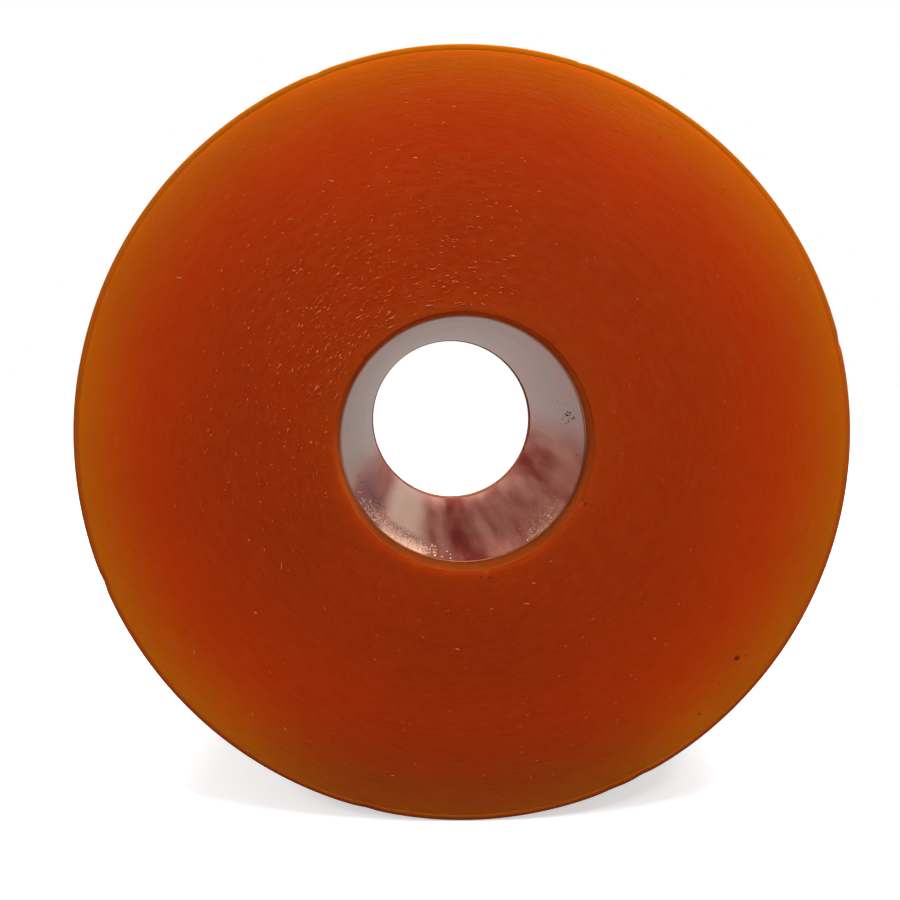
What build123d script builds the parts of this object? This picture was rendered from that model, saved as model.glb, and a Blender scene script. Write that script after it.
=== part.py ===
from build123d import *

import os

# Solid polyurethane caster wheel, cast round a plain metal bore sleeve.
# Millimetres. The origin is the wheel's centre, Y is the axle line and Z is up.

# Cast body
TREAD_DIAMETER = 76.0
FACE_WIDTH = 65.0  # across the two flat faces
RIM_ROUNDING = 0.8  # edge between the tread and each face

# Bore sleeve, which turns on the axle
BORE_DIAMETER = 25.0
SLEEVE_WALL = 2.5
SLEEVE_EDGE_BREAK = 0.1  # chamfer on every edge of the sleeve's ends
SLEEVE_RECESS = 5.0  # how far each sleeve end stands back from the body's face

# Keying grooves turned round the sleeve, which the casting fills
GROOVE_COUNT = 4
GROOVE_WIDTH = 3.0
GROOVE_DEPTH = 0.5

# Lips of the casting that cover the sleeve's ends
LIP_RELIEF = 0.1  # radial clearance that keeps each lip off the axle
LIP_ROUNDING = 0.2  # edge between each lip and its face

tread_radius = TREAD_DIAMETER / 2
bore_radius = BORE_DIAMETER / 2
lip_radius = bore_radius + LIP_RELIEF
sleeve_radius = bore_radius + SLEEVE_WALL
sleeve_length = FACE_WIDTH - 2 * SLEEVE_RECESS
groove_spacing = sleeve_length / (GROOVE_COUNT + 1)

os.makedirs("parts", exist_ok=True)

# Half section of the space that the sleeve fills, from the axle line outwards: X is the radius.
# Both pieces take their shared surface from it, because the casting is bonded to the sleeve.
with BuildSketch(Plane.XY) as sleeve_envelope:
    with Locations((sleeve_radius / 2, 0)):
        Rectangle(sleeve_radius, sleeve_length)
    chamfer(sleeve_envelope.vertices().group_by(Axis.X)[-1], SLEEVE_EDGE_BREAK)
    with Locations((sleeve_radius, 0)):
        with GridLocations(0, groove_spacing, 1, GROOVE_COUNT):
            Rectangle(2 * GROOVE_DEPTH, GROOVE_WIDTH, mode=Mode.SUBTRACT)

# Bore sleeve
with BuildPart() as bore_sleeve:
    with BuildSketch(Plane.XY) as sleeve_section:
        add(sleeve_envelope.sketch)
        with Locations((bore_radius / 2, 0)):
            Rectangle(bore_radius, sleeve_length, mode=Mode.SUBTRACT)
        chamfer(sleeve_section.vertices().group_by(Axis.X)[0], SLEEVE_EDGE_BREAK)
    revolve(axis=Axis.Y)
bore_sleeve.part.label = "bore_sleeve"
export_step(bore_sleeve.part, "parts/bore_sleeve.step")

# Cast body: tread, both faces and the two lips
with BuildPart() as tread_body:
    with BuildSketch(Plane.XY) as body_section:
        with Locations(((lip_radius + tread_radius) / 2, 0)):
            Rectangle(tread_radius - lip_radius, FACE_WIDTH)
        fillet(body_section.vertices().group_by(Axis.X)[-1], RIM_ROUNDING)
        fillet(body_section.vertices().group_by(Axis.X)[0], LIP_ROUNDING)
        add(sleeve_envelope.sketch, mode=Mode.SUBTRACT)
    revolve(axis=Axis.Y)
tread_body.part.label = "tread_body"
export_step(tread_body.part, "parts/tread_body.step")
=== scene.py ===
"""Looks for the solid polyurethane caster wheel: cast body, bore sleeve, and marks of making and use."""
import math
from collections import namedtuple

import bpy
import numpy as np
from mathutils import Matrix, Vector


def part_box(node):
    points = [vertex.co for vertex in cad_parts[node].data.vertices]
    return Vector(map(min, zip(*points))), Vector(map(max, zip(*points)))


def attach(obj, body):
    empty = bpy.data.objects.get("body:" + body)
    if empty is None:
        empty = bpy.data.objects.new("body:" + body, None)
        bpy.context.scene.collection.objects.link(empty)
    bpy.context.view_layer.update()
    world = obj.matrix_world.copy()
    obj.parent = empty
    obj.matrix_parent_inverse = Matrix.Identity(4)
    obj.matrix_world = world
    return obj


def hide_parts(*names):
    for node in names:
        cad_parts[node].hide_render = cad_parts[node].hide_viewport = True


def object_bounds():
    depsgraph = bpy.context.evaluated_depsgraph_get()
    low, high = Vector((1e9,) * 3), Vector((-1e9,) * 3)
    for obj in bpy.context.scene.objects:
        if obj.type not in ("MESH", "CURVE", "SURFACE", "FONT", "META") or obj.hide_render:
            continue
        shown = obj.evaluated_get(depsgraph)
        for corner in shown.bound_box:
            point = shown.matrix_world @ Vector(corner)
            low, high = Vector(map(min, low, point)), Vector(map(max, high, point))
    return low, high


MM = 0.001

# Camera, from the middle of the near face: a phone held close, a little left of the axle line and above it
CAMERA_OFFSET = Vector((-3.46, -94.99, 5.68)) * MM
CAMERA_YAW, CAMERA_PITCH = 1.20, 3.85  # degrees, to the right and down
CAMERA_LENS = 39.24
CAMERA_NEAR = 5 * MM

# Mesh steps round the wheel, and round each dome
SEGMENTS = 512
DOME_AROUND = 8

# Roundings of the CAD body at the mouth of each lip and at the rim, and the chamfer inside the sleeve's ends
LIP_ROUNDING = 0.2 * MM
RIM_ROUNDING = 0.8 * MM
SLEEVE_CHAMFER = 0.1 * MM
EDGE_BAND = 2.0 * MM  # the near face has finer steps this close to its edges

# Unevenness of each face: a slow wave round the wheel, and fine turning steps (radians per mm of radius)
FACE_WAVE = 0.010 * MM
FACE_STEPS, FACE_STEP_RATE = 0.006 * MM, 2.1
# A face's highest parts are this far behind the CAD face, which leaves room for what stands up on it
FACE_SETBACK = 0.05 * MM
FACE_LEVEL = FACE_SETBACK + FACE_WAVE + FACE_STEPS  # the mean

# The ground tread: its mean set-back, and its unevenness round the wheel and across it (radians per mm)
TREAD_LEVEL = 0.03 * MM
TREAD_WAVE = 0.012 * MM
TREAD_MARKS, TREAD_MARK_RATE = 0.010 * MM, 0.9

DRAW_DEPTH = 0.004 * MM  # mean depth of the draw marks in the bore wall
WALL_LEVEL = 0.012 * MM  # what is stuck to the bore wall has its middle this deep in the wall


# ---------------------------------------------------------------- frame

def radii(node):
    """Least and greatest distance of a CAD node's vertices from the axle line."""
    co = np.array([v.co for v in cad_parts[node].data.vertices])
    r = np.hypot(co[:, 0], co[:, 2])
    return float(r.min()), float(r.max())


# ---------------------------------------------------------------- meshes

def straight(start, end, steps):
    """Points from start to end, without the end."""
    t = np.linspace(0, 1, steps, endpoint=False)[:, None]
    return np.array(start) * (1 - t) + np.array(end) * t


def rounded(centre, radius, start, turn, steps):
    """Points of an arc in (radius, y), without its end. Angles are in degrees."""
    a = np.radians(start + turn * np.linspace(0, 1, steps, endpoint=False))
    return np.array(centre) + radius * np.c_[np.cos(a), np.sin(a)]


def link(name, points, faces, material, smooth=True):
    """Make an object of points and faces, and add it to the scene."""
    mesh = bpy.data.meshes.new(name)
    mesh.from_pydata(points.tolist(), [], faces)
    mesh.polygons.foreach_set("use_smooth", np.full(len(mesh.polygons), smooth))
    mesh.materials.append(material)
    piece = bpy.data.objects.new(name, mesh)
    bpy.context.scene.collection.objects.link(piece)
    return piece


def turned(name, profile, material, shape):
    """A closed profile of (radius, y) turned about the axle line. shape moves the points first."""
    count = len(profile)
    angle = np.repeat(np.linspace(0, 2 * math.pi, SEGMENTS, endpoint=False), count)
    radius, y = np.tile(profile[:, 0], SEGMENTS), np.tile(profile[:, 1], SEGMENTS)
    radius, y = shape(radius, y, angle)
    points = np.c_[radius * np.cos(angle), y, radius * np.sin(angle)]
    ring, along = np.meshgrid(np.arange(SEGMENTS), np.arange(count), indexing="ij")
    next_ring, next_along = (ring + 1) % SEGMENTS, (along + 1) % count
    quads = np.stack([ring * count + along, ring * count + next_along,
                      next_ring * count + next_along, next_ring * count + along], axis=-1).reshape(-1, 4)
    return link(name, points, quads.tolist(), material)


def ripple(angle, waves, seed):
    """Smooth uneven number from -1 to 1 round the wheel: a few waves of random phase."""
    rng = np.random.default_rng(seed)
    return sum(np.cos(n * angle + rng.uniform(0, 2 * math.pi)) for n in waves) / len(waves)


def bump_at(angle, where, width, across, across_width):
    """1 at an angle in degrees and at no distance across, falling smoothly to 0 over the widths."""
    off = (np.degrees(angle) - where + 180) % 360 - 180
    return np.exp(-(off / width) ** 2 - (across / across_width) ** 2)


# ---------------------------------------------------------------- body and sleeve

# Nicks: place round the wheel in degrees, half width in degrees, depth in mm
RIM_NICKS = [(-62, 1.3, 0.10), (-67, 1.6, 0.07), (-38, 0.7, 0.16), (112, 0.9, 0.12), (201, 1.2, 0.14),
             (157, 0.6, 0.10), (15, 0.8, 0.12), (-105, 1.4, 0.10), (-133, 0.7, 0.14), (73, 0.6, 0.10)]
MOUTH_NICKS = [(-27, 1.8, 0.12), (-80, 1.6, 0.10), (-112, 1.2, 0.07), (140, 1.5, 0.06), (-52, 1.5, 0.06),
               (48, 1.3, 0.06), (196, 2.0, 0.07)]
# How far a nick spreads from the edge it is in
RIM_NICK_REACH = 0.75 * MM
MOUTH_NICK_REACH = 0.5 * MM


def body_profile():
    """The cast body's section, once round, with the finest steps where the camera sees an edge."""
    inner, outer, face = lip_radius, tread_radius, half_width
    points = [
        straight((inner, -sleeve_half), (inner, -face + LIP_ROUNDING), 10),
        rounded((inner + LIP_ROUNDING, -face + LIP_ROUNDING), LIP_ROUNDING, 180, 90, 6),
        straight((inner + LIP_ROUNDING, -face), (inner + EDGE_BAND, -face), 8),
        straight((inner + EDGE_BAND, -face), (outer - EDGE_BAND, -face), 46),
        straight((outer - EDGE_BAND, -face), (outer - RIM_ROUNDING, -face), 5),
        rounded((outer - RIM_ROUNDING, -face + RIM_ROUNDING), RIM_ROUNDING, -90, 90, 9),
        straight((outer, -face + RIM_ROUNDING), (outer, face - RIM_ROUNDING), 36),
        rounded((outer - RIM_ROUNDING, face - RIM_ROUNDING), RIM_ROUNDING, 0, 90, 8),
        straight((outer - RIM_ROUNDING, face), (inner + LIP_ROUNDING, face), 42),
        rounded((inner + LIP_ROUNDING, face - LIP_ROUNDING), LIP_ROUNDING, 90, 90, 5),
        straight((inner, face - LIP_ROUNDING), (inner, sleeve_half), 5),
        straight((inner, sleeve_half), (sleeve_radius, sleeve_half), 2),
        straight((sleeve_radius, sleeve_half), (sleeve_radius, -sleeve_half), 3),
        straight((sleeve_radius, -sleeve_half), (inner, -sleeve_half), 2),
    ]
    return np.concatenate(points)


def body_shape(radius, y, angle):
    """Faces a little uneven with fine turning steps, a ground tread, and a nicked rim and mouth."""
    side = np.sign(y)
    face = np.clip((np.abs(y) - (half_width - RIM_ROUNDING)) / RIM_ROUNDING, 0, 1)
    wave = FACE_WAVE * ripple(angle, (2, 3, 5, 8), 11)
    steps = FACE_STEPS * np.sin(radius / MM * FACE_STEP_RATE + 2 * angle)
    y = y - side * face * (FACE_LEVEL + (wave + steps))
    tread = np.clip((radius - (tread_radius - RIM_ROUNDING)) / RIM_ROUNDING, 0, 1)
    wave = TREAD_WAVE * ripple(angle, (3, 7, 12, 19), 5)
    marks = TREAD_MARKS * ripple(y / MM * TREAD_MARK_RATE, (1, 2, 5), 6)
    radius = radius - tread * (TREAD_LEVEL + (wave + marks))
    for k, (where, width, depth) in enumerate(RIM_NICKS):
        rim = 1 if k % 3 == 2 else -1  # one nick in three is in the far rim
        from_rim = np.hypot(tread_radius - radius, half_width - rim * y)
        fall = bump_at(angle, where, width, from_rim, RIM_NICK_REACH) * depth * MM
        radius, y = radius - fall, y - rim * fall
    for where, width, depth in MOUTH_NICKS:
        from_lip = np.hypot(radius - lip_radius, half_width + y)
        fall = bump_at(angle, where, width, from_lip, MOUTH_NICK_REACH) * depth * MM
        radius, y = radius + fall, y + fall
    return radius, y


# The body's material slots. Slot 0 is the face's
NEAR_LIP, RIM, TREAD, FAR_LIP = 1, 2, 3, 4


def dress_body(piece, near_lip, rim, tread, far_lip):
    """Give the lip walls, the worn rims and the ground tread their own materials; the lips and rims carry
    painted light and shade.
    """
    for material in (near_lip, rim, tread, far_lip):
        piece.data.materials.append(material)
    for face in piece.data.polygons:
        radius, depth = math.hypot(face.center.x, face.center.z), half_width - abs(face.center.y)
        if radius < lip_radius + LIP_ROUNDING:
            face.material_index = NEAR_LIP if face.center.y < 0 else FAR_LIP
        elif radius > tread_radius - RIM_ROUNDING and depth < RIM_ROUNDING:
            face.material_index = RIM
        elif radius > tread_radius - RIM_ROUNDING:
            face.material_index = TREAD


def sleeve_profile():
    """The sleeve's section, once round."""
    bore, outer, half, edge = bore_radius, sleeve_radius, sleeve_half, SLEEVE_CHAMFER
    points = [
        straight((bore, half - edge), (bore, -half + edge), 60),
        straight((bore, -half + edge), (bore + edge, -half), 3),
        straight((bore + edge, -half), (outer, -half), 4),
        straight((outer, -half), (outer, half), 8),
        straight((outer, half), (bore + edge, half), 3),
        straight((bore + edge, half), (bore, half - edge), 3),
    ]
    return np.concatenate(points)


def sleeve_shape(radius, y, angle):
    """Draw marks: the bore wall runs very slightly in and out round the tube, the same all along it."""
    wall = radius < bore_radius + SLEEVE_CHAMFER / 2
    draw = DRAW_DEPTH * (1 + ripple(angle, (9, 14, 23, 37, 58), 3))
    return radius + wall * draw, y


# ---------------------------------------------------------------- small marks

# A dome of unit size: its foot under the surface, its shoulder and top over it
FOOT_SCALE, FOOT_HEIGHT = (1.0, 1.0, 0.0), -0.6
SHOULDER_SCALE, SHOULDER_HEIGHT = (0.8, 0.75, 0.0), 0.55
DOME_TOP, DOME_BOTTOM = (0.1, 0.0, 1.0), (0.0, 0.0, -0.8)

# Usual half width across the surface and height of a mark, in mm
MARK_WIDTH, MARK_HEIGHT = 0.04, 0.03


def domes(name, places, material, smooth=True):
    """Low domes, each set a little into the surface under it. A place is a centre, three directions
    (along, across and up) and a size in each."""
    a = np.linspace(0, 2 * math.pi, DOME_AROUND, endpoint=False)
    ring = np.c_[np.cos(a), np.sin(a), np.zeros(DOME_AROUND)]
    unit = np.r_[ring * FOOT_SCALE + (0, 0, FOOT_HEIGHT), ring * SHOULDER_SCALE + (0, 0, SHOULDER_HEIGHT),
                 [DOME_TOP], [DOME_BOTTOM]]
    low, high, top, bottom = 0, DOME_AROUND, 2 * DOME_AROUND, 2 * DOME_AROUND + 1
    faces = []
    for i in range(DOME_AROUND):
        j = (i + 1) % DOME_AROUND
        faces += [(low + i, low + j, high + j, high + i), (high + i, high + j, top),
                  (low + j, low + i, bottom)]
    points, all_faces = [], []
    for k, (centre, along, across, up, size) in enumerate(places):
        axes = np.stack([along, across, up])
        points.append(np.array(centre) + (unit * size) @ axes)
        all_faces += [tuple(k * len(unit) + v for v in f) for f in faces]
    return link(name, np.concatenate(points), all_faces, material, smooth)


def directions(degrees):
    """Unit vectors outwards and round the wheel, at an angle round it."""
    t = math.radians(degrees)
    return np.array((math.cos(t), 0, math.sin(t))), np.array((-math.sin(t), 0, math.cos(t)))


def dome_axes(first, second, up, twist=0.0):
    """Directions of a dome on a surface: the first two turned by twist, right-handed with up."""
    c, s = math.cos(twist), math.sin(twist)
    along, across = c * first + s * second, -s * first + c * second
    if np.dot(np.cross(along, across), up) < 0:
        across = -across
    return along, across, up


def on_face(radius, degrees, side, twist, size):
    """A place for a dome on a face, with its radius and size in mm. side is -1 on the face towards the
    camera and 1 on the other."""
    out, round_ = directions(degrees)
    along, across, up = dome_axes(round_, out, np.array((0.0, side, 0.0)), twist)
    y = side * (half_width - FACE_LEVEL)
    return out * (radius * MM) + (0, y, 0), along, across, up, np.array(size) * MM


def on_bore(depth, degrees, size):
    """A place for a dome on the bore wall, with its depth behind the near end of the sleeve and its size in
    mm. The size is round the wheel, along the axle and out of the wall."""
    out, round_ = directions(degrees)
    along, across, up = dome_axes(round_, np.array((0.0, 1.0, 0.0)), -out)
    y = -sleeve_half + depth * MM
    return out * (bore_radius + WALL_LEVEL) + (0, y, 0), along, across, up, np.array(size) * MM


# Torn patch on the near face: slivers stand up where the facing cut tore the rubber. Sizes are in mm, and
# lengths and widths are measured from the middle
TORN_PLACE, TORN_SPREAD = (21.0, 140.0), (4.6, 29.0)  # radius in mm and degrees round the wheel
MOUTH_SPREAD, MOUTH_SIDE = 4.5, (75, 205)  # some lie near the mouth, within these degrees
TORN_COUNT, MOUTH_COUNT, LOOSE_COUNT, FAR_COUNT = 600, 180, 460, 260
FREE_AT_MOUTH, FREE_AT_RIM = 0.6, 3  # mm with none
SLIVER_LENGTH, SLIVER_LONGEST = 0.060, 0.62
SLIVER_WIDTHS, SLIVER_HEIGHTS = (0.020, 0.046), (0.020, 0.045)
SLIVER_TWIST = 0.20  # radians
FAR_LENGTHS, FAR_TWIST = (0.08, 0.3), 0.3
SHADOW_SIDE = math.radians(-48)  # painted shadow: a flat dark patch lies to this side of each sliver
SHADOW_DISTANCE, SHADOW_WIDTH, SHADOW_HEIGHT = 0.09, 0.045, 0.010
SHADOW_LENGTH = 0.8  # times its sliver's


def shadow_beside(radius, degrees, twist, length):
    """A place for the painted shadow beside a sliver: a flat dark dome."""
    t = math.radians(degrees)
    x = radius * math.cos(t) + SHADOW_DISTANCE * math.cos(SHADOW_SIDE)
    z = radius * math.sin(t) + SHADOW_DISTANCE * math.sin(SHADOW_SIDE)
    size = (length * SHADOW_LENGTH, SHADOW_WIDTH, SHADOW_HEIGHT)
    return on_face(math.hypot(x, z), math.degrees(math.atan2(z, x)), -1, twist, size)


def torn_slivers():
    """Slivers on the near face, painted shadows beside them, and a few slivers on the far face."""
    rng = np.random.default_rng(41)
    low, high = lip_radius / MM + FREE_AT_MOUTH, tread_radius / MM - FREE_AT_RIM
    slivers, sliver_shadows = [], []
    for k in range(TORN_COUNT + MOUTH_COUNT + LOOSE_COUNT):
        if k < TORN_COUNT:
            r, a = rng.normal(TORN_PLACE[0], TORN_SPREAD[0]), rng.normal(TORN_PLACE[1], TORN_SPREAD[1])
        elif k < TORN_COUNT + MOUTH_COUNT:
            r, a = low + abs(rng.normal(0, MOUTH_SPREAD)), rng.uniform(*MOUTH_SIDE)
        else:
            r, a = math.sqrt(rng.uniform(low ** 2, high ** 2)), rng.uniform(0, 360)
        near_mouth = math.exp(-((r - low) / 5) ** 2) * (60 < a < 160)  # longest just over the mouth
        length = SLIVER_LENGTH * math.exp(rng.normal(0.55, 0.50)) * (1 + 1.6 * near_mouth)
        length = min(SLIVER_LONGEST, length)
        width, height = rng.uniform(*SLIVER_WIDTHS), rng.uniform(*SLIVER_HEIGHTS)
        twist = rng.normal(0, SLIVER_TWIST)
        if low < r < high:
            slivers.append(on_face(r, a, -1, twist, (length, width, height)))
            sliver_shadows.append(shadow_beside(r, a, twist, length))
    for _ in range(FAR_COUNT):
        r, a = math.sqrt(rng.uniform(low ** 2, high ** 2)), rng.uniform(0, 360)
        twist, length = rng.normal(0, FAR_TWIST), rng.uniform(*FAR_LENGTHS)
        slivers.append(on_face(r, a, 1, twist, (length, MARK_WIDTH, MARK_HEIGHT)))
    return slivers, sliver_shadows


# Scuffs on the near face: radius in mm, degrees round the wheel, twist in radians, length in mm
SCUFFS = [(21.6, 214, 0.6, 0.9), (20.4, 268, 0.2, 0.6), (16.6, 279, -0.4, 0.5), (17.0, 291, 0.5, 0.7),
          (15.4, 296, 0.3, 0.6), (31.6, 150, 1.2, 0.7), (28.0, 117, 0.7, 0.5), (36.0, 26, 0.9, 0.4),
          (32.0, 92, 0.1, 0.45), (33.4, 238, 0.4, 0.6), (34.0, 232, 0.9, 0.5), (27.6, 100, 0.2, 0.5)]

# Grit in the near face: radius in mm, degrees round the wheel, half length and half width in mm
FACE_SPECKS = [(34.45, -38.4, 0.32, 0.26), (35.7, -49.2, 0.18, 0.14), (35.0, -37.2, 0.14, 0.08),
               (13.25, -27, 0.30, 0.10), (13.5, -79, 0.36, 0.10), (13.3, -83, 0.20, 0.09),
               (26.0, -117, 0.10, 0.08), (34.6, -104, 0.24, 0.07), (30.0, 64, 0.08, 0.08),
               (35.2, 203, 0.10, 0.08), (14.2, 150, 0.12, 0.09)]
SPECK_TWIST = 0.2  # radians

# Grit on the bore wall: a cluster, strays and single specks. Depth is in mm from the near end of the sleeve,
# size is a half width in mm, and run is the length as a multiple of the width
CLUSTER_PLACE, CLUSTER_SPREAD = (11.5, 10.5), (2.4, 4.2)  # depth and degrees round the wheel
CLUSTER_SIZES, CLUSTER_RUNS = (0.05, 0.15), (2.5, 7)
STRAY_SIZES, STRAY_RUN, STRAY_MARGINS = (0.02, 0.06), 3, (1, 2)
CLUSTER_COUNT, STRAY_COUNT = 30, 22
# Depth, degrees round the wheel, size and run of the single ones
SINGLE_SPECKS = [(5.0, -9, 0.11, 3), (5.5, 184, 0.06, 3), (4.0, 171, 0.07, 3), (18, 17, 0.06, 9),
                 (2.0, 12, 0.06, 2)]

# Burred patches near the near mouth: middle and spread round the wheel in degrees, spread in depth in mm,
# how many burrs, and their scale
BURRS = [(-119, 8, 4.5, 480, 1.0), (-139, 6, 9.0, 200, 0.9), (-45, 6, 6.5, 240, 0.6),
         (-90, 60, 5.0, 30, 0.5)]
BURR_NEAREST, BURR_REACH = 0.5, 15  # mm from the end of the sleeve, and at most this much deeper
BURR_SIZES, BURR_RUNS, BURR_RISE = (0.055, 0.165), (1.6, 3.6), 0.9


def bright_scratches():
    """Short pale scuffs on the near face."""
    return [on_face(r, a, -1, twist, (long / 2, MARK_WIDTH, MARK_HEIGHT)) for r, a, twist, long in SCUFFS]


def dark_specks():
    """Grit pressed into the rubber near the rim and at the mouth."""
    return [on_face(r, a, -1, SPECK_TWIST, (long, wide, MARK_HEIGHT)) for r, a, long, wide in FACE_SPECKS]


def bore_specks():
    """Black grit stuck to the wall, in one cluster on the right and singly elsewhere."""
    rng = np.random.default_rng(7)
    places = []
    for _ in range(CLUSTER_COUNT):
        depth = rng.normal(CLUSTER_PLACE[0], CLUSTER_SPREAD[0])
        degrees = rng.normal(CLUSTER_PLACE[1], CLUSTER_SPREAD[1])
        places.append((depth, degrees, rng.uniform(*CLUSTER_SIZES), rng.uniform(*CLUSTER_RUNS)))
    for _ in range(STRAY_COUNT):
        depth = rng.uniform(STRAY_MARGINS[0], 2 * sleeve_half / MM - STRAY_MARGINS[1])
        places.append((depth, rng.uniform(0, 360), rng.uniform(*STRAY_SIZES), STRAY_RUN))
    return [on_bore(depth, a, (s, s * run, MARK_HEIGHT)) for depth, a, s, run in places + SINGLE_SPECKS]


def bore_grains():
    """Bright burrs near the mouth, left where the end of the tube was cut and cleaned."""
    rng = np.random.default_rng(19)
    places = []
    for middle, spread, reach, count, scale in BURRS:
        for _ in range(count):
            depth = BURR_NEAREST + min(abs(rng.normal(0, reach)), BURR_REACH)
            s = rng.uniform(*BURR_SIZES) * scale
            degrees = rng.normal(middle, spread)
            places.append(on_bore(depth, degrees, (s, s * rng.uniform(*BURR_RUNS), s * BURR_RISE)))
    return places


# ---------------------------------------------------------------- shader nodes

# A point on the wheel, in mm. cos and sin are of the angle round it, and vector is x, y and z together
Point = namedtuple("Point", "radius y cos sin vector")


class Nodes:
    """Short names for the nodes and links of a material or world."""

    def __init__(self, owner):
        owner.use_nodes = True
        self.owner, self.tree = owner, owner.node_tree
        self.tree.nodes.clear()

    def add(self, kind, **values):
        node = self.tree.nodes.new(kind)
        for key, value in values.items():
            setattr(node, key, value)
        return node

    def put(self, socket, value):
        if isinstance(value, bpy.types.NodeSocket):
            self.tree.links.new(value, socket)
        else:
            socket.default_value = value

    def feed(self, node, *values):
        """Fill a node's first inputs, and return its first output."""
        for socket, value in zip(node.inputs, values):
            self.put(socket, value)
        return node.outputs[0]

    def math(self, operation, *values, clamp=False):
        return self.feed(self.add("ShaderNodeMath", operation=operation, use_clamp=clamp), *values)

    def split(self, vector):
        node = self.add("ShaderNodeSeparateXYZ")
        self.put(node.inputs[0], vector)
        return node.outputs

    def ramp(self, value, low, high, low_out=0.0, high_out=1.0, smooth=True):
        node = self.add("ShaderNodeMapRange", interpolation_type="SMOOTHSTEP" if smooth else "LINEAR")
        return self.feed(node, value, low, high, low_out, high_out)

    def mix(self, factor, a, b):
        node = self.add("ShaderNodeMix", data_type="RGBA")
        self.put(node.inputs[0], factor)
        self.put(node.inputs[6], a)
        self.put(node.inputs[7], b)
        return node.outputs[2]

    def noise(self, vector, scale=1.0, detail=2.0, roughness=0.5):
        node = self.add("ShaderNodeTexNoise")
        self.put(node.inputs["Vector"], vector)
        for key, value in (("Scale", scale), ("Detail", detail), ("Roughness", roughness)):
            node.inputs[key].default_value = value
        return node.outputs["Fac"]

    def bump(self, height, distance, normal=None):
        node = self.add("ShaderNodeBump")
        self.put(node.inputs["Height"], height)
        node.inputs["Distance"].default_value = distance
        if normal:
            self.put(node.inputs["Normal"], normal)
        return node.outputs[0]

    def vector(self):
        """The object's own coordinates, in mm."""
        scaled = self.add("ShaderNodeVectorMath", operation="SCALE")
        self.put(scaled.inputs[0], self.add("ShaderNodeTexCoord").outputs["Object"])
        scaled.inputs["Scale"].default_value = 1 / MM
        return scaled.outputs[0]

    def point(self):
        """The point that is shaded."""
        vector = self.vector()
        x, y, z = self.split(vector)
        radius = self.math("SQRT", self.math("MULTIPLY_ADD", x, x, self.math("MULTIPLY", z, z)))
        return Point(radius, y, self.math("DIVIDE", x, radius), self.math("DIVIDE", z, radius), vector)

    def wrapped(self, place, around, third):
        """Coordinates that close on themselves round the wheel, so that a noise has no seam."""
        x, y = self.math("MULTIPLY", place.cos, around), self.math("MULTIPLY", place.sin, around)
        return self.feed(self.add("ShaderNodeCombineXYZ"), x, y, third)

    def ring(self, place, around, across):
        """Coordinates for marks that run round the wheel: they are long when around is small."""
        section = self.math("ADD", place.radius, place.y)
        return self.wrapped(place, around, self.math("MULTIPLY", section, across))

    def tube(self, place, around, along):
        """Coordinates for streaks along the tube: they are narrow when around is large."""
        return self.wrapped(place, around, self.math("MULTIPLY", place.y, along))

    def towards(self, place, degrees):
        """Cosine of the angle round the wheel from a direction."""
        a = math.radians(degrees)
        return self.math("ADD", self.math("MULTIPLY", place.cos, math.cos(a)),
                         self.math("MULTIPLY", place.sin, math.sin(a)))

    def band(self, place, degrees, inner, outer):
        """1 within inner degrees of a direction round the wheel, falling to 0 at outer."""
        return self.ramp(self.towards(place, degrees), math.cos(math.radians(outer)),
                         math.cos(math.radians(inner)))

    def finish(self, **values):
        """Close a material's nodes with a shader that has these values, and return the material."""
        shader = self.add("ShaderNodeBsdfPrincipled")
        for key, value in values.items():
            self.put(shader.inputs[key.replace("_", " ")], value)
        self.put(self.add("ShaderNodeOutputMaterial").inputs["Surface"], shader.outputs[0])
        return self.owner


def material_nodes(name):
    """Nodes of a new material."""
    return Nodes(bpy.data.materials.new(name))


def two_tone(name, scale, detail, low, high, first, second, **values):
    """A material that wanders from one colour to the other as its noise goes from low to high."""
    n = material_nodes(name)
    tint = n.ramp(n.noise(n.vector(), scale, detail), low, high)
    return n.finish(Base_Color=n.mix(tint, first, second), **values)


# ---------------------------------------------------------------- rubber

# Linear colours of the casting: deep in the middle, and painted light where light comes through near an edge
PU_CORE = (0.300, 0.025, 0.0012, 1)
PU_RED = (0.400, 0.030, 0.0010, 1)
PU_EDGE = (0.43, 0.125, 0.0015, 1)
PU_LIP = (0.29, 0.045, 0.003, 1)
PU_UNDER_SHADE = (0.16, 0.020, 0.004, 1)  # painted shade: the face's outer band darker at the bottom, where the floor is under it and less light comes through
PU_TREAD_GLOW = (0.36, 0.118, 0.0020, 1)  # painted glow within a millimetre of the tread, and over the tread itself, most near each face
# Clouds, smears and torn marks on the face, and scuffs and lines on the tread
PU_CLOUD = (0.20, 0.020, 0.002, 1)
PU_SMEAR = (0.42, 0.060, 0.012, 1)
PU_TORN = (0.13, 0.012, 0.002, 1)
PU_WORN = (0.26, 0.030, 0.004, 1)
PU_LINES = (0.27, 0.034, 0.001, 1)
PU_REACH = (4.0, 1.3, 0.4)  # mm that red, green and blue light travel under the surface

# Cut rubber: the mouth edge of a lip, the ridges, and upper and lower colours of the rims and the two lips,
# which are painted light and shade
CUT_EDGE = (0.17, 0.023, 0.003, 1)
CUT_RIDGES = (0.10, 0.020, 0.002, 1)
CUT_REACH = (5.0, 2.0, 0.7)
# Painted light and shade: each rim darker at the top, where the lamps light it most, and each lip lighter at
# the top and darker at the bottom
RIM_LIGHT_AND_SHADE = (0.22, 0.059, 0.001, 1), (0.54, 0.086, 0.010, 1)
NEAR_LIP_LIGHT_AND_SHADE = (0.80, 0.110, 0.016, 1), (0.14, 0.020, 0.003, 1)
FAR_LIP_LIGHT_AND_SHADE = (0.46, 0.14, 0.060, 1), (0.26, 0.105, 0.060, 1)

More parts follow.
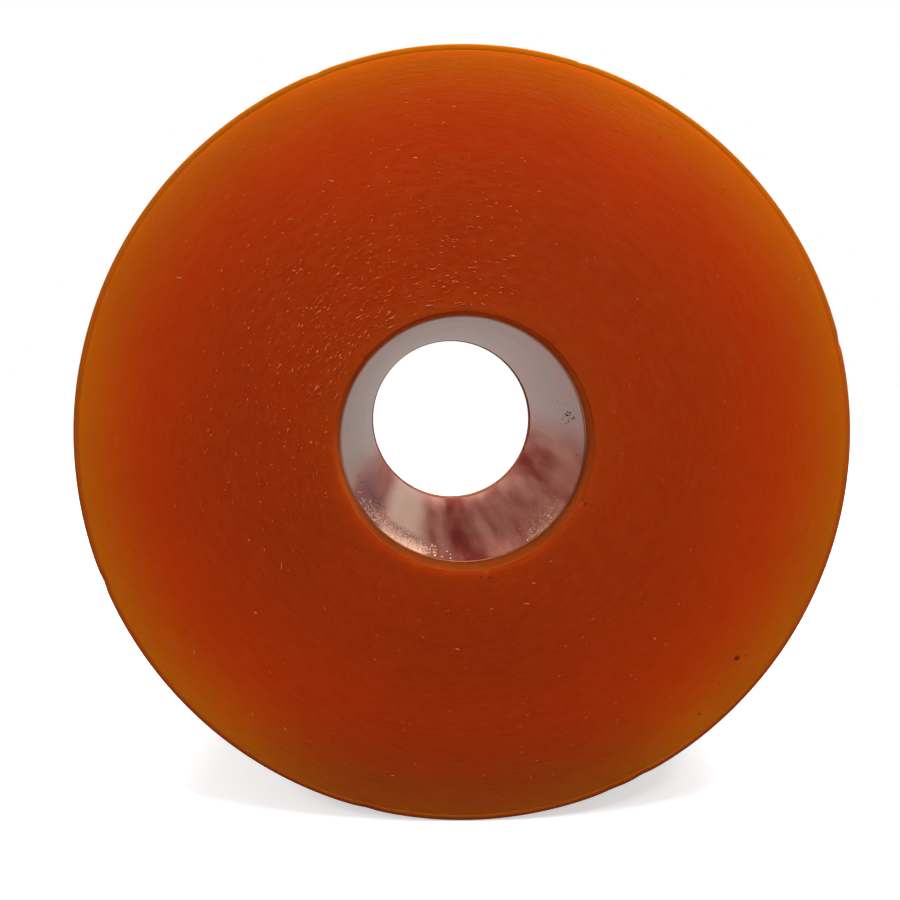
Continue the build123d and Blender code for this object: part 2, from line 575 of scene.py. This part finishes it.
# The two shades of each small mark
# Painted shadow beside each sliver, darker than the rubber round it
SLIVER_SHADOW_COLOURS = (0.15, 0.012, 0.001, 1), (0.24, 0.020, 0.001, 1)
SLIVER_COLOURS = (0.40, 0.045, 0.004, 1), (0.72, 0.17, 0.040, 1)
SCUFF_COLOURS = (0.50, 0.11, 0.03, 1), (0.66, 0.24, 0.10, 1)
BORE_GRIT_COLOURS = (0.010, 0.004, 0.003, 1), (0.035, 0.010, 0.006, 1)
FACE_GRIT_COLOURS = (0.10, 0.011, 0.003, 1), (0.20, 0.026, 0.004, 1)


def casting_colour(n, place, from_face, from_rim):
    """Deep red, with amber towards the rim in painted light, a duller lip and faint clouds."""
    # Painted light: redder and then amber towards the rim, standing in for light that comes through the
    # rubber near its edges
    colour = n.mix(n.ramp(from_rim, 18.0, 3.0), PU_CORE, PU_RED)
    glow = n.math("POWER", n.ramp(from_rim, 8.6, -0.5, smooth=False), 2.0)
    colour = n.mix(glow, colour, PU_EDGE)
    from_lip = n.math("SUBTRACT", place.radius, lip_radius / MM)
    from_lip = n.math("MAXIMUM", from_lip, n.math("MULTIPLY", from_face, 0.4))
    lip = n.math("POWER", n.ramp(from_lip, 4.0, 0.0, smooth=False), 2.0)
    colour = n.mix(n.math("MULTIPLY", lip, 0.55), colour, PU_LIP)
    return n.mix(n.ramp(n.noise(place.vector, 0.05, 2.0), 0.35, 0.65, 0.0, 0.16), colour, PU_CLOUD)


def torn_marks(n, place):
    """Dark marks left by the facing cut, strongest in the torn patch."""
    patch = n.math("MULTIPLY", n.ramp(n.towards(place, TORN_PLACE[1]), 0.0, 0.9),
                   n.ramp(place.radius, TORN_PLACE[0] + 9, TORN_PLACE[0] + 2))
    marks = n.noise(n.ring(place, 42.0, 6.5), 1.0, 2.0, 0.6)
    return n.math("MULTIPLY", marks, n.ramp(patch, 0, 1, 0.75, 1.0))


def polyurethane(name, gloss):
    """The casting, on its faces and its tread."""
    n = material_nodes(name)
    place = n.point()
    from_face = n.math("SUBTRACT", half_width / MM, n.math("ABSOLUTE", place.y))
    from_tread = n.math("SUBTRACT", tread_radius / MM, place.radius)
    from_rim = n.math("MAXIMUM", from_tread, from_face)
    colour = casting_colour(n, place, from_face, from_rim)
    smear = n.noise(n.ring(place, 12.0, 1.5), 1.0, 3.0, 0.6)
    colour = n.mix(n.ramp(smear, 0.50, 0.78, 0.0, 0.16), colour, PU_SMEAR)
    torn = torn_marks(n, place)
    colour = n.mix(n.ramp(torn, 0.64, 0.80, 0.0, 0.5), colour, PU_TORN)
    # Painted shade on the lower outer band of the face
    under = n.math("MULTIPLY", n.ramp(place.sin, -0.74, -0.99), n.ramp(from_rim, 12.0, 2.0))
    colour = n.mix(n.math("MULTIPLY", under, 0.55), colour, PU_UNDER_SHADE)
    # Painted light: amber within a millimetre of the tread and on the tread, most near each face; this band
    # is also a little rougher
    tread_glow_band = n.ramp(from_tread, 1.1, 0.25)
    colour = n.mix(n.math("MULTIPLY", tread_glow_band, n.ramp(from_face, 1.0, 12.0, 1.0, 0.25)), colour, PU_TREAD_GLOW)
    on_tread = n.ramp(from_tread, 0.9, 0.1)
    scuff = n.ramp(n.noise(n.ring(place, 5.0, 0.5), 1.0, 4.0, 0.7), 0.45, 0.72)
    worn = n.math("MULTIPLY", n.math("MULTIPLY", on_tread, n.ramp(from_face, 0.5, 3.0)), scuff)
    colour = n.mix(n.math("MULTIPLY", worn, 0.16), colour, PU_WORN)
    lines = n.ramp(n.noise(n.ring(place, 0.6, 2.2), 1.0, 3.0, 0.7), 0.40, 0.66, 0.0, 0.25)
    colour = n.mix(n.math("MULTIPLY", on_tread, lines), colour, PU_LINES)
    rough = n.math("ADD", n.ramp(smear, 0.35, 0.75, 0.24, 0.36), n.math("MULTIPLY", tread_glow_band, 0.14))
    rough = n.math("ADD", rough, n.math("MULTIPLY", worn, 0.2))
    grind = n.noise(n.ring(place, 1.2, 5.0), 1.0, 4.0, 0.65)
    normal = n.bump(torn, 0.030 * MM, n.bump(grind, 0.020 * MM))
    return n.finish(Base_Color=colour, Roughness=rough, Normal=normal, Subsurface_Weight=0.75,
                    Subsurface_Radius=PU_REACH, Subsurface_Scale=MM, Specular_IOR_Level=gloss)


def face_rubber():
    return polyurethane("cast_polyurethane", 0.05)


def tread_rubber():
    return polyurethane("ground_polyurethane", 0.25)


def cut_rubber(name, colours, top, bottom, weight):
    """Matt cut rubber. Its two colours are painted light and shade: they keep it nearly even from top to
    bottom, as the light that the casting carries through keeps the real one. top and bottom are sines of the
    angle round the wheel."""
    n = material_nodes(name)
    place = n.point()
    # Painted light and shade: one colour at the top, the other at the bottom
    colour = n.mix(n.ramp(place.sin, top, bottom, smooth=False), *colours)
    from_face = n.math("SUBTRACT", half_width / MM, n.math("ABSOLUTE", place.y))
    mouth = n.math("MULTIPLY", n.ramp(from_face, 0.9, 0.3),
                   n.ramp(place.radius, tread_radius / MM - 3, lip_radius / MM + 1))
    colour = n.mix(n.math("MULTIPLY", mouth, 0.65), colour, CUT_EDGE)
    ridges = n.noise(n.ring(place, 3.0, 4.0), 1.0, 3.0, 0.6)
    colour = n.mix(n.ramp(ridges, 0.3, 0.7, 0.0, 0.22), colour, CUT_RIDGES)
    return n.finish(Base_Color=colour, Roughness=0.8, Specular_IOR_Level=0.0,
                    Normal=n.bump(ridges, 0.05 * MM), Subsurface_Weight=weight, Subsurface_Radius=CUT_REACH,
                    Subsurface_Scale=MM)


def rim_rubber():
    return cut_rubber("worn_polyurethane_painted_light", RIM_LIGHT_AND_SHADE, 0.9, -1.0, 0.2)


def near_lip_rubber():
    return cut_rubber("bored_polyurethane", NEAR_LIP_LIGHT_AND_SHADE, 0.8, -0.75, 1.0)


def far_lip_rubber():
    return cut_rubber("bored_polyurethane_far", FAR_LIP_LIGHT_AND_SHADE, 0.8, -0.75, 0.6)


# Flat dark domes beside the slivers: painted shadow
def shadow_rubber():
    return two_tone("painted_sliver_shadow", 4.0, 2.0, 0.3, 0.7, *SLIVER_SHADOW_COLOURS,
                    Roughness=0.6, Specular_IOR_Level=0.05)


def torn_rubber():
    """Slivers, the pale ones rougher."""
    n = material_nodes("torn_polyurethane")
    tint = n.noise(n.vector(), 3.0, 2.0)
    colour = n.mix(n.ramp(tint, 0.42, 0.66), *SLIVER_COLOURS)
    return n.finish(Base_Color=colour, Roughness=n.ramp(tint, 0.3, 0.7, 0.14, 0.30),
                    Specular_IOR_Level=0.30)


def scuffed_rubber():
    return two_tone("scuffed_polyurethane", 6.0, 3.0, 0.3, 0.7, *SCUFF_COLOURS,
                    Roughness=0.4, Specular_IOR_Level=0.4)


def dark_grit():
    return two_tone("dark_grit", 5.0, 3.0, 0.3, 0.7, *BORE_GRIT_COLOURS,
                    Roughness=0.8, Specular_IOR_Level=0.05)


def face_grit():
    """Grit in the face, half sunk, so the rubber's colour shows over it."""
    return two_tone("sunk_grit", 5.0, 3.0, 0.3, 0.7, *FACE_GRIT_COLOURS,
                    Roughness=0.7, Specular_IOR_Level=0.05)


# ---------------------------------------------------------------- metal

# Linear colours of the sleeve: clean, warm, cloudy, streaks of painted reflection in two shades,
# pale painted highlight, and a pinkish streak of painted reflection
METAL = (0.63, 0.44, 0.365, 1)
METAL_WARM = (0.60, 0.31, 0.26, 1)
METAL_CLOUD = (0.50, 0.38, 0.35, 1)
REFLECTION_DARK = (0.36, 0.070, 0.050, 1)
REFLECTION_TAN = (0.85, 0.36, 0.26, 1)
PALE_TAN = (1.0, 0.62, 0.44, 1)
PINK_STREAK = (0.44, 0.19, 0.185, 1)
# The painted highlights over the burred patches, and their dark crinkles
HIGHLIGHT_TAN = (0.98, 0.56, 0.36, 1)
CRINKLE = (0.40, 0.17, 0.14, 1)
# The sleeve's two end edges, in painted light and shade: lighter where clean, darker along the streaked band
# below, and between the two in the burred patches
EDGE_CLEAN = (0.72, 0.38, 0.26, 1)
EDGE_IN_STREAKS = (0.24, 0.080, 0.042, 1)
EDGE_BRIGHT = (0.30, 0.115, 0.060, 1)
# Tint of the metal where it is seen at a glancing angle
GLANCE_CLEAN = (1.0, 0.96, 0.94, 1)
GLANCE_DARK = (0.74, 0.21, 0.18, 1)
GLANCE_TAN = (1.0, 0.72, 0.66, 1)
GLANCE_PALE = (1.0, 0.84, 0.72, 1)
GLANCE_PINK = (0.88, 0.55, 0.58, 1)
BURR_COLOURS = (0.72, 0.42, 0.31, 1), (1.0, 0.76, 0.56, 1)


def reflection_streaks(n, place, depth):
    """0 in the dark streaks of the painted reflection and 1 in the tan ones. Two streaks are darker than the
    rest.
    """
    broad = n.noise(n.tube(place, 4.2, 0.03), 1.0, 1.0)
    middle = n.noise(n.tube(place, 11.0, 0.06), 1.0, 2.0)
    streak = n.math("ADD", n.ramp(broad, 0.34, 0.66, 0.32, 0.78), n.ramp(middle, 0.34, 0.66, 0.0, 0.26))
    streak = n.math("SUBTRACT", streak, n.math("MULTIPLY", n.band(place, -88, 2, 12), 0.55))
    dark_right = n.math("MULTIPLY", n.band(place, -24, 2, 12), n.ramp(depth, 12.0, 30.0, 0.1, 0.5))
    return n.math("SUBTRACT", streak, dark_right, clamp=True)


def sleeve_metal():
    """Drawn tube: painted reflection in soft streaks along its lower side, and painted highlights over the
    burrs near the mouth.
    """
    n = material_nodes("drawn_sleeve_metal")
    place = n.point()
    depth, length = n.math("ADD", place.y, sleeve_half / MM), 2 * sleeve_half / MM
    streak = reflection_streaks(n, place, depth)
    # Painted reflection: soft dark and tan streaks along the lower side of the bore
    reflection_band = n.math("MULTIPLY", n.band(place, -80, 62, 92), 0.95)
    # Painted highlight: a pale strip at the lower left, where the wall is also smoother
    pale = n.math("MULTIPLY", n.band(place, -122, 2, 18), 0.85)
    # Painted reflection: a pinkish streak at the lower left, strongest near the mouth
    pink_streak = n.math("MULTIPLY", n.band(place, -144, 2, 14), n.ramp(depth, 34.0, 10.0, 0.2, 0.85))

    clean = n.mix(n.band(place, -25, 20, 105), METAL, METAL_WARM)
    cloud = n.ramp(n.noise(place.vector, 0.16, 2.0), 0.40, 0.62, 0.0, 0.55)
    clean = n.mix(cloud, clean, METAL_CLOUD)
    reflected = n.mix(pale, n.mix(streak, REFLECTION_DARK, REFLECTION_TAN), PALE_TAN)
    colour = n.mix(pink_streak, n.mix(reflection_band, clean, reflected), PINK_STREAK)
    glance = n.mix(pale, n.mix(streak, GLANCE_DARK, GLANCE_TAN), GLANCE_PALE)
    glance = n.mix(pink_streak, n.mix(reflection_band, GLANCE_CLEAN, glance), GLANCE_PINK)

    lesser = n.math("MULTIPLY", n.band(place, -46, 5, 14), 0.45)
    burred_and_highlit = n.math("MAXIMUM", n.band(place, -120, 7, 17), lesser)
    edge_colour = n.mix(burred_and_highlit, n.mix(reflection_band, EDGE_CLEAN, EDGE_IN_STREAKS), EDGE_BRIGHT)
    # Painted highlight over the burred patches, fading deeper in, with dark crinkles mixed into it
    patch = n.math("MULTIPLY", burred_and_highlit, n.ramp(depth, 17.0, 1.0))
    colour = n.mix(n.math("MULTIPLY", patch, 0.9), colour, HIGHLIGHT_TAN)
    grain = n.noise(place.vector, 3.2, 3.0, 0.7)
    crinkle = n.math("MULTIPLY", n.ramp(grain, 0.40, 0.56), n.ramp(patch, 0.1, 0.6))
    colour = n.mix(n.math("MULTIPLY", crinkle, 0.5), colour, CRINKLE)
    # The end edges get their painted light and shade
    edge = n.math("MAXIMUM", n.ramp(depth, 0.16, 0.08), n.ramp(depth, length - 0.16, length - 0.08))
    colour = n.mix(edge, colour, edge_colour)

    film = n.math("MAXIMUM", n.math("MULTIPLY", reflection_band, 0.5), patch)
    rough = n.ramp(n.math("MAXIMUM", film, edge), 0.0, 1.0, 0.33, 0.55)
    rough = n.math("MULTIPLY", rough, n.math("SUBTRACT", 1.0, n.math("MULTIPLY", pale, 0.6)))
    normal = n.bump(n.math("MULTIPLY", grain, n.ramp(patch, 0.0, 0.6, 0.04, 1.0)), 0.16 * MM)
    normal = n.bump(n.noise(n.tube(place, 30.0, 0.05), 1.0, 2.0), 0.006 * MM, normal)
    return n.finish(Base_Color=colour, Metallic=n.ramp(film, 0.5, 1.0, 0.88, 0.15), Roughness=rough,
                    Specular_Tint=glance, Specular_IOR_Level=0.12, Normal=normal)


def burr_metal():
    return two_tone("burr_metal", 4.0, 2.0, 0.42, 0.58, *BURR_COLOURS,
                    Metallic=0.3, Roughness=0.35, Specular_IOR_Level=0.3)


# ---------------------------------------------------------------- stage

FLOOR_REACH = 12.0  # metres to each side
FLOOR_GLOW = 0.55
FLOOR_COLOURS = (0.86, 0.86, 0.86, 1), (0.88, 0.88, 0.88, 1)
BOUNCE_COLOURS = (0.24, 0.23, 0.22, 1), (0.26, 0.25, 0.24, 1)
BOUNCE_DROP = 0.05 * MM

WHITE = (1, 1, 1, 1)
ROOM_GREY = (0.8, 0.8, 0.8, 1)
MIRRORED_GREY = (0.56, 0.55, 0.54, 1)
# The room's light goes from the first strength to the second between these heights of a direction
ROOM_HEIGHTS = (-0.25, 0.9)
ROOM_STRENGTHS = (0.26, 0.9)


def floor_paint():
    return two_tone("pale_floor", 0.01, 2.0, 0.3, 0.7, *FLOOR_COLOURS,
                    Roughness=0.95, Specular_IOR_Level=0.1,
                    Emission_Color=WHITE, Emission_Strength=FLOOR_GLOW)


def bounce_paint():
    return two_tone("floor_bounce", 0.01, 2.0, 0.3, 0.7, *BOUNCE_COLOURS,
                    Roughness=0.95, Specular_IOR_Level=0.1)


def make_floor():
    """Two floors in one place: a pale one that is seen, and a dimmer one that lights the wheel instead."""
    corners = np.array([(-1, -1, 0), (1, -1, 0), (1, 1, 0), (-1, 1, 0)]) * FLOOR_REACH + (0, 0, cad_low.z)
    floor = link("floor", corners, [(0, 1, 2, 3)], floor_paint())
    floor.visible_diffuse = floor.visible_glossy = False
    bounce = link("floor_bounce", corners - (0, 0, BOUNCE_DROP), [(0, 1, 2, 3)], bounce_paint())
    bounce.visible_camera = bounce.visible_glossy = bounce.visible_shadow = False


def area_light(name, place, aim, size, power):
    data = bpy.data.lights.new(name, "AREA")
    data.shape, data.size, data.energy = "DISK", size, power
    light = bpy.data.objects.new(name, data)
    light.location = place
    light.visible_camera = False
    light.rotation_euler = (Vector(aim) - Vector(place)).to_track_quat("-Z", "Y").to_euler()
    bpy.context.scene.collection.objects.link(light)


def make_lights():
    area_light("overhead", place=(0.03, -0.095, 0.18), aim=(0, -0.01, 0.01), size=0.14, power=0.55)
    area_light("window", place=(-0.30, -0.40, 0.33), aim=(0, 0, 0), size=0.10, power=0.8)
    area_light("lamp_right", place=(0.16, -0.30, 0.30), aim=(0, 0, 0), size=0.05, power=0.35)
    area_light("skylight_behind", place=(-0.05, 0.16, 0.50), aim=(0, 0.02, 0), size=0.30, power=2.6)
    area_light("lamp_behind", place=(0.14, 0.26, 0.46), aim=(0, 0, 0), size=0.30, power=0.85)


def make_world():
    """Soft room, brighter overhead than low down. The camera sees a plain white backdrop instead, and the
    metal mirrors an even grey."""
    world = bpy.data.worlds.new("soft_room")
    bpy.context.scene.world = world
    n = Nodes(world)
    height = n.split(n.add("ShaderNodeTexCoord").outputs["Generated"])[2]
    strength = n.ramp(height, *ROOM_HEIGHTS, *ROOM_STRENGTHS, smooth=False)
    room = n.feed(n.add("ShaderNodeBackground"), ROOM_GREY, strength)
    mirrored = n.feed(n.add("ShaderNodeBackground"), MIRRORED_GREY)
    backdrop = n.feed(n.add("ShaderNodeBackground"), WHITE)
    path = n.add("ShaderNodeLightPath").outputs
    lit = n.feed(n.add("ShaderNodeMixShader"), path["Is Glossy Ray"], room, mirrored)
    seen = n.feed(n.add("ShaderNodeMixShader"), path["Is Camera Ray"], lit, backdrop)
    n.put(n.add("ShaderNodeOutputWorld").inputs["Surface"], seen)


def make_camera():
    data = bpy.data.cameras.new("camera")
    data.lens, data.clip_start = CAMERA_LENS, CAMERA_NEAR
    camera = bpy.data.objects.new("camera", data)
    camera.location = Vector((0, cad_low.y, 0)) + CAMERA_OFFSET
    camera.rotation_euler = (math.radians(90 - CAMERA_PITCH), 0, math.radians(-CAMERA_YAW))
    bpy.context.scene.collection.objects.link(camera)
    bpy.context.scene.camera = camera


# ---------------------------------------------------------------- the wheel

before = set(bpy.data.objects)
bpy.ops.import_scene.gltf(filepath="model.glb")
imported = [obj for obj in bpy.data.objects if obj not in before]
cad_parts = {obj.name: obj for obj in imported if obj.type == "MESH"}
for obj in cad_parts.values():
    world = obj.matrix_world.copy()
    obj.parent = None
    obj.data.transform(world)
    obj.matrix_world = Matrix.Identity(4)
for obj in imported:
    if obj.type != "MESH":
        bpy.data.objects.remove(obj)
cad_low, cad_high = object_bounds()
lip_radius, tread_radius = radii("tread_body")
bore_radius, sleeve_radius = radii("bore_sleeve")
half_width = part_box("tread_body")[1].y
sleeve_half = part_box("bore_sleeve")[1].y

bpy.context.scene.view_settings.view_transform = "Standard"
make_camera()
make_lights()
make_world()
make_floor()

body = turned("cast_body", body_profile(), face_rubber(), body_shape)
dress_body(body, near_lip_rubber(), rim_rubber(), tread_rubber(), far_lip_rubber())
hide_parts("tread_body")
sleeve = turned("sleeve_tube", sleeve_profile(), sleeve_metal(), sleeve_shape)
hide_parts("bore_sleeve")
sliver_places, shadow_places = torn_slivers()
slivers = domes("torn_slivers", sliver_places, torn_rubber())
# Painted shadow: flat dark domes beside the slivers
sliver_shadows = domes("painted_sliver_shadows", shadow_places, shadow_rubber())
scuffs = domes("face_scuffs", bright_scratches(), scuffed_rubber())
specks = domes("pressed_in_grit", dark_specks(), face_grit())
wall_specks = domes("bore_grit", bore_specks(), dark_grit())
burrs = domes("bore_burrs", bore_grains(), burr_metal(), smooth=False)

for piece in (body, slivers, sliver_shadows, scuffs, specks):
    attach(piece, "root")
for piece in (sleeve, wall_specks, burrs):
    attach(piece, "root")
